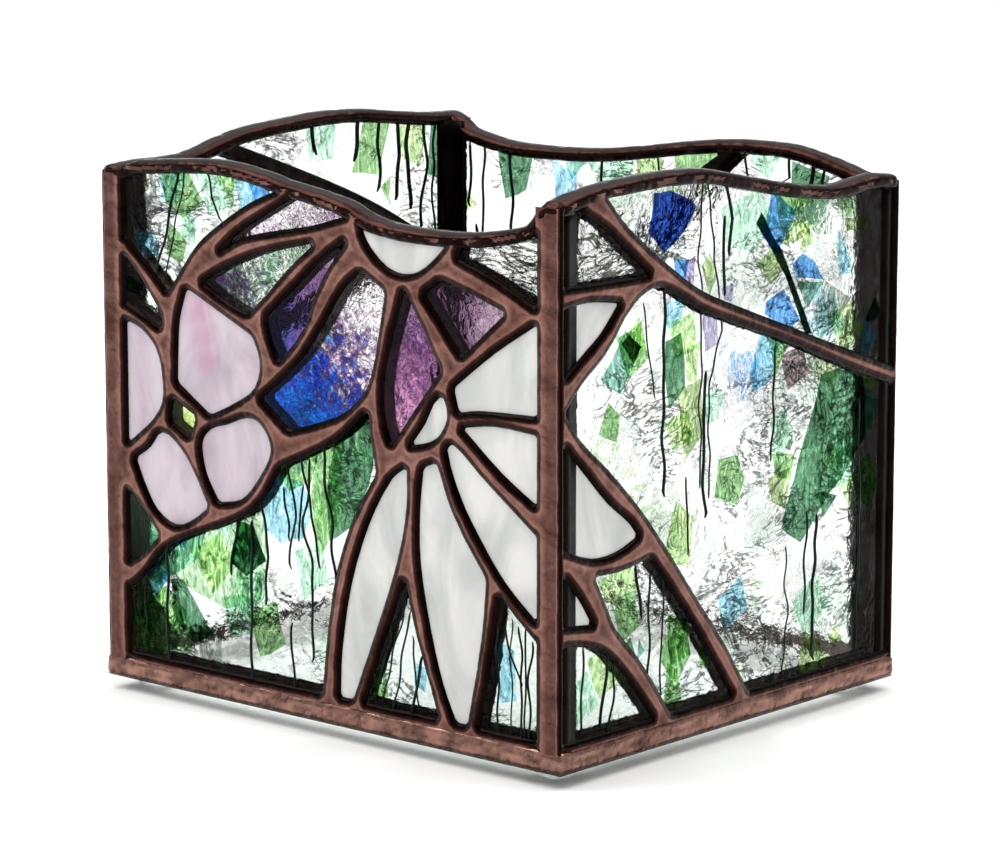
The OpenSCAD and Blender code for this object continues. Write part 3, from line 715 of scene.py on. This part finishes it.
PINE = streaky_look("dark_ray_glass", FRONT, (24, 71), (48, 81),
                    [(0.05, (0.04, 0.015, 0.08)), (0.3, (0.12, 0.2, 0.13)), (0.5, (0.6, 0.7, 0.6)),
                     (0.7, (0.92, 0.97, 0.93)), (1.0, (0.3, 0.5, 0.3))], crackle=0.9, dark=1.0)
HAZE = streaky_look("top_ray_glass", FRONT, (30, 79), (56, 88),
                    [(0.1, (0.62, 0.36, 0.5)), (0.35, (0.97, 0.92, 0.96)),
                     (0.7, (0.95, 0.85, 0.92)), (0.95, (0.4, 0.22, 0.36))], dark=1.0)
MAUVE = streaky_look("violet_ray_glass", FRONT, (39, 63), (55, 82),
                     [(0.05, (0.03, 0.08, 0.5)), (0.35, (0.16, 0.08, 0.32)),
                      (0.75, (0.34, 0.18, 0.34)), (1.0, (0.7, 0.52, 0.68))], dark=0.6)
COBALT = streaky_look("cobalt_glass", FRONT, (40, 51), (62, 77),
                      [(0.05, (0.01, 0.2, 0.85)), (0.36, (0.01, 0.05, 0.62)),
                       (0.49, (0.06, 0.015, 0.13)), (0.6, (0.42, 0.25, 0.38)),
                       (0.72, (0.97, 0.94, 0.97))], crackle=0.65, dark=1.0)
SPEAR = streaky_look("spear_glass", FRONT, (67, 52), (71, 75),
                     [(0.05, (0.68, 0.3, 0.5)), (0.45, (0.42, 0.17, 0.38)),
                      (0.8, (0.12, 0.04, 0.15)), (1.0, (0.4, 0.24, 0.4))],
                     crackle=0.7, dark=1.0)
KITE = streaky_look("kite_glass", FRONT, (74, 74), (90, 73),
                    [(0.05, (0.16, 0.07, 0.16)), (0.5, (0.26, 0.14, 0.24)),
                     (1.0, (0.55, 0.4, 0.5))], dark=0.6)

BY_SLOT = {"streaky_glass": STREAKY, "green_glass": GREEN, "ripple_glass": RIPPLE,
           "violet_glass": MAUVE, "blue_glass": COBALT, "pink_glass": PINK,
           "white_glass": WHITE, "base_glass": PLATE, "patina_solder": SHADE_PAINTED_SOLDER,
           "copper_foil": FOIL, "foot_rubber": rubber_look()}
BY_NODE = {"base_seam": SEAM, "front_pink_flower_eye": LIME, "front_dark_ray": PINE,
           "front_violet_top_ray": HAZE, "front_violet_spear": SPEAR,
           "front_violet_kite": KITE}


def dress_cad_nodes():
    for name, obj in NODES.items():
        obj.data.materials.clear()
        obj.data.materials.append(BY_NODE.get(name, BY_SLOT[SLOT_OF[name]]))


# ---- flakes and strings in the clear glass -------------------------------------------------
MINT, LEAF, LIMEY = (0.62, 0.88, 0.73), (0.38, 0.6, 0.32), (0.66, 0.83, 0.48)
PINEY, OLIVE, TEAL = (0.17, 0.34, 0.22), (0.46, 0.57, 0.34), (0.32, 0.56, 0.49)
SKY, AZURE, NAVY = (0.45, 0.74, 0.92), (0.2, 0.45, 0.88), (0.05, 0.12, 0.55)
LILAC, SMOKE = (0.55, 0.48, 0.68), (0.58, 0.6, 0.58)
INK, UMBER, FERN = (0.01, 0.04, 0.025), (0.42, 0.33, 0.36), (0.58, 0.76, 0.55)

FLAKES = {
    FRONT: [
        (LEAF, [(14, 91), (20, 92), (24, 86), (19, 83), (15, 85)]),
        (MINT, [(22, 91), (31, 91), (31, 86), (25, 84)]),
        (LIMEY, [(26, 92), (33, 92), (30, 87)]),
        (SKY, [(31, 91), (36, 91), (37, 87), (33, 85)]),
        (AZURE, [(34, 91), (40, 91), (39, 88), (36, 87)]),
        (SKY, [(7.5, 79.5), (12.5, 80), (13.5, 76.5), (9, 75.5)]),
        (LEAF, [(16, 82), (20, 79), (18.5, 75.5), (15, 76.5)]),
        (SMOKE, [(9, 90), (12.5, 90), (13, 85), (10, 84)]),
        (PINEY, [(5.5, 72), (9, 71), (8, 69), (5.3, 69.5)]),
        (SKY, [(37, 33), (41, 31), (46, 32.5), (48.5, 37), (46, 42), (41, 42.5), (36.5, 38)]),
        (FERN, [(11, 24), (16, 29), (26, 31.5), (36, 36), (38, 30), (36, 20), (28, 18), (20, 20)]),
        (TEAL, [(9, 20), (14, 27), (24, 31.5), (22, 26), (14, 21)]),
        (LIMEY, [(20, 27), (27, 31), (30, 26), (25, 20)]),
        (MINT, [(30, 26), (36, 30), (38, 22), (33, 18)]),
        (OLIVE, [(5.3, 22), (9, 21), (13, 23), (13, 16), (9, 8), (5.3, 8)]),
        (PINEY, [(15, 21), (18, 21.5), (25, 13), (20, 11), (15.5, 15)]),
        (LEAF, [(6, 14), (14, 20), (19, 16), (14, 8), (8, 8)]),
        (FERN, [(12, 15), (19, 16), (20, 9), (13, 8)]),
        (SMOKE, [(21, 13), (27, 14), (27, 8), (22, 8)]),
        (PINEY, [(54, 52), (62, 56), (62, 47), (57, 36), (52, 33), (52, 44)]),
        (LEAF, [(49, 50), (55, 50), (54, 36), (50, 30), (48, 40)]),
        (LEAF, [(40, 44), (50, 48), (48, 42), (43, 40)]),
        (MINT, [(44, 30), (50, 33), (52, 26), (46, 22)]),
        (LEAF, [(33, 18), (40, 21), (42, 14), (36, 11)]),
        (MINT, [(27, 20), (33, 21), (35, 15), (29, 13)]),
        (SKY, [(70.5, 16), (73.5, 15), (73, 11), (70.8, 12)]),
        (SKY, [(88.5, 22), (92, 21), (92.5, 13), (89, 12)]),
        (LEAF, [(60.5, 13), (64, 14), (65, 9), (61.5, 8)]),
    ],
    RIGHT: [
        (MINT, [(40, 88), (50, 90), (55, 84), (48, 80), (41, 82)]),
        (LEAF, [(54, 89.5), (62.5, 88.5), (61, 85), (55, 84.5)]),
        (LIMEY, [(55, 84.5), (62.5, 84), (61, 80.5), (56, 80.5)]),
        (INK, [(49, 84.5), (50.5, 86.2), (56, 79.5), (62, 69), (64.3, 64.8), (62.5, 64.8),
               (57, 75)]),
        (OLIVE, [(49.5, 78), (54, 80.5), (57, 77), (53, 74)]),
        (AZURE, [(58.7, 76.8), (61.5, 78.3), (65, 76.5), (67.5, 73.3), (60, 74.5)]),
        (TEAL, [(60, 74), (67.5, 73), (63, 69)]),
        (SMOKE, [(64.5, 69), (68, 73), (75, 69.5), (70, 65), (66, 64)]),
        (LIMEY, [(69, 67), (75, 69), (79, 64), (73, 60)]),
        (SKY, [(71.3, 81.3), (74.9, 76), (74.9, 73.5), (71.5, 73.5)]),
        (AZURE, [(51.5, 69.5), (52, 71.5), (56.5, 73), (61, 67.5), (58, 66)]),
        (OLIVE, [(73, 83), (80, 82.5), (79, 80.5), (73.5, 81)]),
        (NAVY, [(21.5, 86), (23, 92), (27, 92), (33.5, 89), (31, 85.5), (25.5, 82.2)]),
        (AZURE, [(28, 81), (32, 80.5), (31, 77.5), (28.5, 78)]),
        (LILAC, [(30, 80), (33.5, 81), (33, 76), (31, 76.5)]),
        (LILAC, [(35, 71), (38.5, 72), (39.5, 66), (36, 65)]),
        (LILAC, [(40, 75), (43.5, 75.5), (43, 72.5), (41, 73)]),
        (OLIVE, [(35, 79), (37, 81), (39, 77), (37, 74)]),
        (SKY, [(25.5, 74), (31, 74.7), (29.5, 70.5), (26.5, 70)]),
        (LIMEY, [(27, 71), (33, 72), (34, 66), (29, 65)]),
        (LIMEY, [(31, 66), (35, 67), (34, 60), (31.5, 61)]),
        (LIMEY, [(26, 55), (32, 56), (34, 51), (28, 50)]),
        (PINEY, [(26, 68), (30, 69), (31, 60), (27, 57)]),
        (OLIVE, [(29, 60), (35, 61), (36, 52), (31, 48)]),
        (TEAL, [(10, 64), (16, 71), (20, 68), (15, 61)]),
        (LEAF, [(14, 70), (20, 72), (22, 66), (17, 63)]),
        (PINEY, [(62, 29.8), (56.7, 33), (60, 41), (64, 50), (67, 57.5), (73, 58), (79, 55),
                 (79.8, 45.5), (73, 39), (67, 34.5)]),
        (MINT, [(53.5, 52), (58, 53), (60, 47), (55, 45)]),
        (LEAF, [(54, 46), (60, 45), (59, 41), (55, 42)]),
        (OLIVE, [(53, 42), (59, 43), (58, 36), (54, 38)]),
        (SKY, [(47.5, 60.5), (50.3, 66.3), (56, 64), (53, 58), (48.5, 57)]),
        (UMBER, [(56, 62), (62, 63), (64, 58), (58, 56)]),
        (LIMEY, [(9.5, 32), (18, 33), (20, 29), (12, 28)]),
        (LEAF, [(13, 28), (19, 29), (20, 23), (15, 21)]),
        (LIMEY, [(7, 20), (15, 21), (17, 15), (10, 13)]),
        (LEAF, [(35, 17), (38.5, 16.5), (38, 13), (35.5, 13.5)]),
        (MINT, [(2, 15), (7, 18), (10, 12), (4, 9)]),
        (LEAF, [(27, 24), (32, 22), (33, 16), (28, 15)]),
        (SKY, [(40, 24), (46, 27), (48, 21), (42, 18)]),
        (MINT, [(60, 20), (66, 24), (70, 18), (64, 13)]),
    ],
    BACK: [
        (PINEY, [(12, 88), (20, 90), (21, 80), (14, 78)]),
        (LEAF, [(36, 90), (46, 90), (45, 84), (38, 83)]),
        (PINEY, [(78, 88), (87, 88), (85, 78), (80, 80)]),
        (MINT, [(55, 88), (66, 87), (62, 80), (56, 81)]),
        (LIMEY, [(48, 88), (54, 89), (55, 83), (50, 82)]),
        (SKY, [(68, 84), (74, 86), (73, 78), (69, 78)]),
    ],
    LEFT: [
        (SKY, [(70, 88), (76, 90), (77, 84), (72, 82)]),
        (LEAF, [(20, 92), (27, 93), (30, 84), (23, 83)]),
        (LIMEY, [(10, 92), (17, 92), (18, 86), (12, 84)]),
        (MINT, [(34, 94), (42, 94), (41, 87), (35, 87)]),
        (PINEY, [(4, 90), (9, 91), (10, 82), (5, 80)]),
    ],
}

STRINGS = {
    FRONT: [
        [(24.2, 92), (26, 87), (28.5, 83)], [(20, 92), (18.5, 85), (16, 78), (14.3, 71)],
        [(18.2, 92), (16.5, 84), (12.8, 73)], [(14.5, 6), (14.4, 16), (14.7, 27)],
        [(34.3, 6), (34.2, 18), (34.5, 34)], [(42.5, 45), (44.5, 36), (43.5, 27)],
        [(46, 46), (50, 28)], [(43.7, 6), (43.6, 18)], [(51, 49), (53.5, 25)],
        [(37, 38), (38, 28), (37.5, 20)], [(48, 46), (46.5, 36), (48.5, 24), (48, 12)],
        [(9, 22), (8.4, 12), (8.8, 6)], [(31, 34), (29.5, 24)],
        [(62, 8), (66.5, 22)], [(66, 7), (70, 24)], [(70, 7), (72.5, 17)], [(64, 8), (69, 27)],
        [(72, 7), (70.5, 20)], [(90, 25), (93.5, 15)], [(93.3, 25), (93.6, 7)],
        [(94.3, 25), (94.4, 7)], [(91.5, 26), (91, 7)], [(88.5, 24), (89, 7)],
        [(95.6, 23), (95.2, 7)], [(33, 70), (46, 80)], [(28, 71), (38, 79)],
    ],
    RIGHT: [
        [(35.2, 94), (34.6, 80), (35, 74), (35, 43)],
        [(36.5, 94), (38, 80), (39.6, 74), (39.8, 68), (37, 60), (37.2, 41)],
        [(20, 75), (22, 66), (23.5, 59)], [(25.8, 77), (25.5, 60), (26, 43)],
        [(22.5, 31), (22.3, 14)], [(26, 30), (25, 10)], [(36.2, 62), (35.8, 50), (36.4, 38)],
        [(41, 93), (42.5, 86), (42, 80)], [(66, 34), (65.2, 20), (66, 9)],
        [(58, 30), (58.4, 18), (57.6, 8)], [(19, 33), (20.5, 24)],
        [(6, 22), (5.2, 8)], [(12, 20), (10.6, 8)], [(77.5, 52), (78.2, 30), (77.6, 9)],
    ],
    BACK: [
        [(6.5, 89), (7, 60), (6.8, 20)], [(9, 91), (9.5, 70), (8.6, 40)],
        [(12, 92), (14, 85), (22, 80), (27, 82)], [(15, 93), (17, 82), (24, 76)],
        [(20, 93), (20.5, 87), (26, 84), (31, 86)], [(30, 92), (29, 84), (33, 78)],
        [(50, 90), (49, 82), (51, 60)], [(62, 88), (63, 70), (61, 40)],
        [(84, 89), (83, 70), (84, 30)], [(90, 90), (91, 60), (90, 20)],
    ],
    LEFT: [
        [(3, 92), (3.4, 60), (3, 20)], [(5.5, 93), (5, 80), (6, 60)],
        [(8, 93), (8.6, 80), (7.6, 66)], [(11, 94), (10.4, 84), (12, 72)],
        [(15, 94), (15.6, 84), (14.6, 76)], [(18, 94), (17.4, 86), (18.6, 78)],
        [(23, 95), (22.4, 86), (23.4, 80)], [(28, 95), (29.5, 86)], [(40, 94), (39, 88)],
        [(55, 50), (56, 30), (54.5, 9)], [(30, 56), (31, 30), (30, 10)],
    ],
}

EXTRA_FLAKES = (14, 26, 30, 18)  # seeded random ones on each wall, beside those in the table
EXTRA_STRINGS = (6, 6, 10, 10)
FLAKE_SEED, STRING_SEED = 400, 500
FLAKE_GAP, FLAKE_STEP = 0.02, 0.008  # from the glass, and between overlapping flakes
DISPLAY_GAMMA = 2.2   # the tints are written as they look on a screen
STRING_OUT, STRING_IN = 0.12, 0.1    # middle of a string from the outer or inner face
STRING_SIDES = 6
RANDOM_TINTS = [MINT, LEAF, LIMEY, MINT, OLIVE, TEAL, SKY, LEAF, AZURE, PINEY, MINT, LIMEY]


def streaky_panes(k):
    start = WALL_NAME[k] + "_"
    return [n for n in NODES if n.startswith(start) and SLOT_OF[n] == "streaky_glass"]


def random_flakes(k, count, pick):
    """Seeded extra flakes of 2 to 6 mm across a wall."""
    found = []
    for _ in range(count):
        u, v = pick.uniform(3, LENGTH[k] - 3), pick.uniform(7, 92)
        size, turn = pick.uniform(2.0, 5.5), pick.uniform(0, math.tau)
        sides = pick.choice([3, 4, 4, 5])
        ring = [(u + size * pick.uniform(0.4, 1.2) * math.cos(turn + i * math.tau / sides),
                 v + size * pick.uniform(0.7, 1.5) * math.sin(turn + i * math.tau / sides))
                for i in range(sides)]
        found.append((pick.choice(RANDOM_TINTS), ring))
    return found


def ragged(ring, pick):
    """Breaks the straight edges of a flake a little."""
    out = []
    for a, b in zip(ring, ring[1:] + ring[:1]):
        out.append(a)
        t, off = pick.uniform(0.3, 0.7), pick.uniform(-0.05, 0.05)
        du, dv = b[0] - a[0], b[1] - a[1]
        out.append((a[0] + t * du - off * dv, a[1] + t * dv + off * du))
    return out


def build_flakes(k, extra):
    """The flakes of wall k, cut to its clear panes: on the outer face of the flower walls,
    which are seen from outside, and on the inner face of the others."""
    pick = random.Random(FLAKE_SEED + k)
    rings = [outline(n, k, GLASS_IN) for n in streaky_panes(k)]
    flakes = FLAKES[k] + random_flakes(k, extra, pick)
    shapes = [anticlockwise(ragged(ring, pick)) for _, ring in flakes]
    points, faces = [], []
    for ring in rings + shapes:
        faces.append(list(range(len(points), len(points) + len(ring))))
        points += [Vector(p) for p in ring]
    found, _, triangles, _, _, owners = delaunay_2d_cdt(points, [], faces, 1, 1e-5)
    verts, tris, tints = [], [], []
    for triangle, owner in zip(triangles, owners):
        if not any(n < len(rings) for n in owner):
            continue
        for n in owner:
            if n >= len(rings):
                n -= len(rings)
                corners = np.array([found[i] for i in triangle])
                gap = FLAKE_GAP + FLAKE_STEP * (n % 9)
                depth = GLASS_OUT - gap if k in FLOWER_WALLS else GLASS_IN + gap
                tris.append(tuple(range(len(verts), len(verts) + 3)))
                verts += to_world(k, corners[:, 0], corners[:, 1], depth).tolist()
                tints += [(*(c ** DISPLAY_GAMMA for c in flakes[n][0]), 1.0)] * 3
    piece = add_piece(WALL_NAME[k] + "_flakes", verts, tris, FLAKE,
                      smooth=False)
    colours = piece.data.color_attributes.new("tint", "FLOAT_COLOR", "POINT")
    colours.data.foreach_set("color", [c for tint in tints for c in tint])


def inside_ring(ring, u, v):
    odd = False
    for (u0, v0), (u1, v1) in zip(ring, ring[1:] + ring[:1]):
        if (v0 > v) != (v1 > v) and u < u0 + (v - v0) * (u1 - u0) / (v1 - v0):
            odd = not odd
    return odd


def string_points(line, pick):
    """A given line resampled every 0.8 mm with a little sway."""
    sway = waves(pick.random(), 9.0, 5)
    points = []
    for (u0, v0), (u1, v1) in zip(line, line[1:]):
        steps = max(2, int(math.hypot(u1 - u0, v1 - v0) / 0.8))
        for i in range(steps):
            t = i / steps
            u, v = u0 + t * (u1 - u0), v0 + t * (v1 - v0)
            points.append((u + 0.35 * sway(u, v), v))
    return points + [line[-1]]


def string_tube(k, points, radius):
    rings = []
    middle = GLASS_OUT - STRING_OUT if k in FLOWER_WALLS else GLASS_IN + STRING_IN
    for i, (u, v) in enumerate(points):
        r = radius * (0.55 if i in (0, len(points) - 1) else 1)
        turns = np.arange(STRING_SIDES) * math.tau / STRING_SIDES
        rings.append(to_world(k, u + r * np.cos(turns), v,
                              middle + r * np.sin(turns)).tolist())
    return loft(rings, [[0.0] * STRING_SIDES for _ in rings])


def build_strings(k, extra):
    """The strings of wall k, kept to where its clear panes are."""
    pick = random.Random(STRING_SEED + k)
    rings = [outline(n, k, GLASS_IN) for n in streaky_panes(k)]
    lines = list(STRINGS[k])
    for _ in range(extra):
        u, v = pick.uniform(6, LENGTH[k] - 6), pick.uniform(20, 90)
        lines.append([(u, v), (u + pick.uniform(-1.5, 1.5), v - pick.uniform(8, 22))])
    parts = []
    for line in lines:
        radius, run = pick.uniform(0.13, 0.28) * (1 if k in FLOWER_WALLS else 1.5), []
        for u, v in string_points(line, pick) + [(-9, -9)]:
            if any(inside_ring(ring, u, v) for ring in rings):
                run.append((u, v))
            else:
                if len(run) > 3:
                    parts.append(string_tube(k, run, radius))
                run = []
    verts, faces, _ = merged(parts)
    add_piece(WALL_NAME[k] + "_strings", verts, faces, STRING)


# ---- stage ---------------------------------------------------------------------------
FLOOR_RADIUS, FLOOR_SIDES = 6, 96


def build_floor():
    mesh = bpy.data.meshes.new("floor")
    ring = [(FLOOR_RADIUS * math.cos(t), FLOOR_RADIUS * math.sin(t), 0)
            for t in np.arange(FLOOR_SIDES) * math.tau / FLOOR_SIDES]
    mesh.from_pydata(ring, [], [tuple(range(FLOOR_SIDES))])
    mesh.materials.append(floor_look())
    floor = bpy.data.objects.new("floor", mesh)
    bpy.context.scene.collection.objects.link(floor)


def build_light():
    """A white studio, dim between about 10 and 40 degrees up so that the solder gets dark reflections,
    and two soft lamps."""
    world = bpy.data.worlds.new("studio")
    bpy.context.scene.world = world
    world.use_nodes = True
    tree = world.node_tree
    back = tree.nodes["Background"]
    coord = tree.nodes.new("ShaderNodeTexCoord")
    split = tree.nodes.new("ShaderNodeSeparateXYZ")
    ramp = tree.nodes.new("ShaderNodeValToRGB")
    stops = [(0.0, 1.0), (0.14, 1.0), (0.26, 0.28), (0.52, 0.36), (0.7, 1.3), (1.0, 1.5)]
    while len(ramp.color_ramp.elements) < len(stops):
        ramp.color_ramp.elements.new(0.5)
    for element, (at, level) in zip(ramp.color_ramp.elements, stops):
        element.position = at
        element.color = (level, level, level, 1)
    tree.links.new(coord.outputs["Generated"], split.inputs[0])
    tree.links.new(split.outputs[2], ramp.inputs[0])
    tree.links.new(ramp.outputs[0], back.inputs[0])
    back.inputs[1].default_value = 1.0
    for name, place, size, power in (("key", (-0.5, -0.45, 0.9), 0.7, 6.0),
                                     ("top", (0.3, 0.4, 1.1), 0.9, 6.0)):
        lamp = bpy.data.lights.new(name, "AREA")
        lamp.size, lamp.energy = size, power
        obj = bpy.data.objects.new(name, lamp)
        obj.location = place
        obj.rotation_euler = (-Vector(place)).to_track_quat("-Z", "Y").to_euler()
        bpy.context.scene.collection.objects.link(obj)


def build_camera():
    """The camera: azimuth from the front and elevation in radians, distance in metres."""
    aim = Vector((0.0, 0.0, 45.15)) * MM
    azimuth, elevation, distance = 0.72143, 0.18387, 0.70657
    away = Vector((math.sin(azimuth) * math.cos(elevation),
                   -math.cos(azimuth) * math.cos(elevation), math.sin(elevation)))
    camera = bpy.data.cameras.new("camera")
    camera.lens, camera.sensor_width, camera.sensor_fit = 149.575, 36.0, "HORIZONTAL"
    camera.clip_start = 0.01
    obj = bpy.data.objects.new("camera", camera)
    obj.location = aim + distance * away
    obj.rotation_euler = (-away).to_track_quat("-Z", "Y").to_euler()
    bpy.context.scene.collection.objects.link(obj)
    bpy.context.scene.camera = obj


# ---- everything, in order -------------------------------------------------------------
FLAKE, STRING = flake_look(), string_look()
bpy.context.scene.view_settings.view_transform = "Standard"
build_camera()
build_light()
build_floor()
dress_cad_nodes()
for wall in range(4):
    build_wall_solder(wall, wall in FLOWER_WALLS)
    build_rim(wall)
    build_flakes(wall, EXTRA_FLAKES[wall])
    build_strings(wall, EXTRA_STRINGS[wall])
for sx, sy, name, wall, u in ((-1, -1, "front_left", LEFT, LENGTH[LEFT]),
                              (1, -1, "front_right", RIGHT, 0),
                              (1, 1, "back_right", RIGHT, LENGTH[RIGHT]),
                              (-1, 1, "back_left", LEFT, 0)):
    build_corner(sx, sy, "corner_" + name, float(rim_height(wall, u)))
build_base_edge()
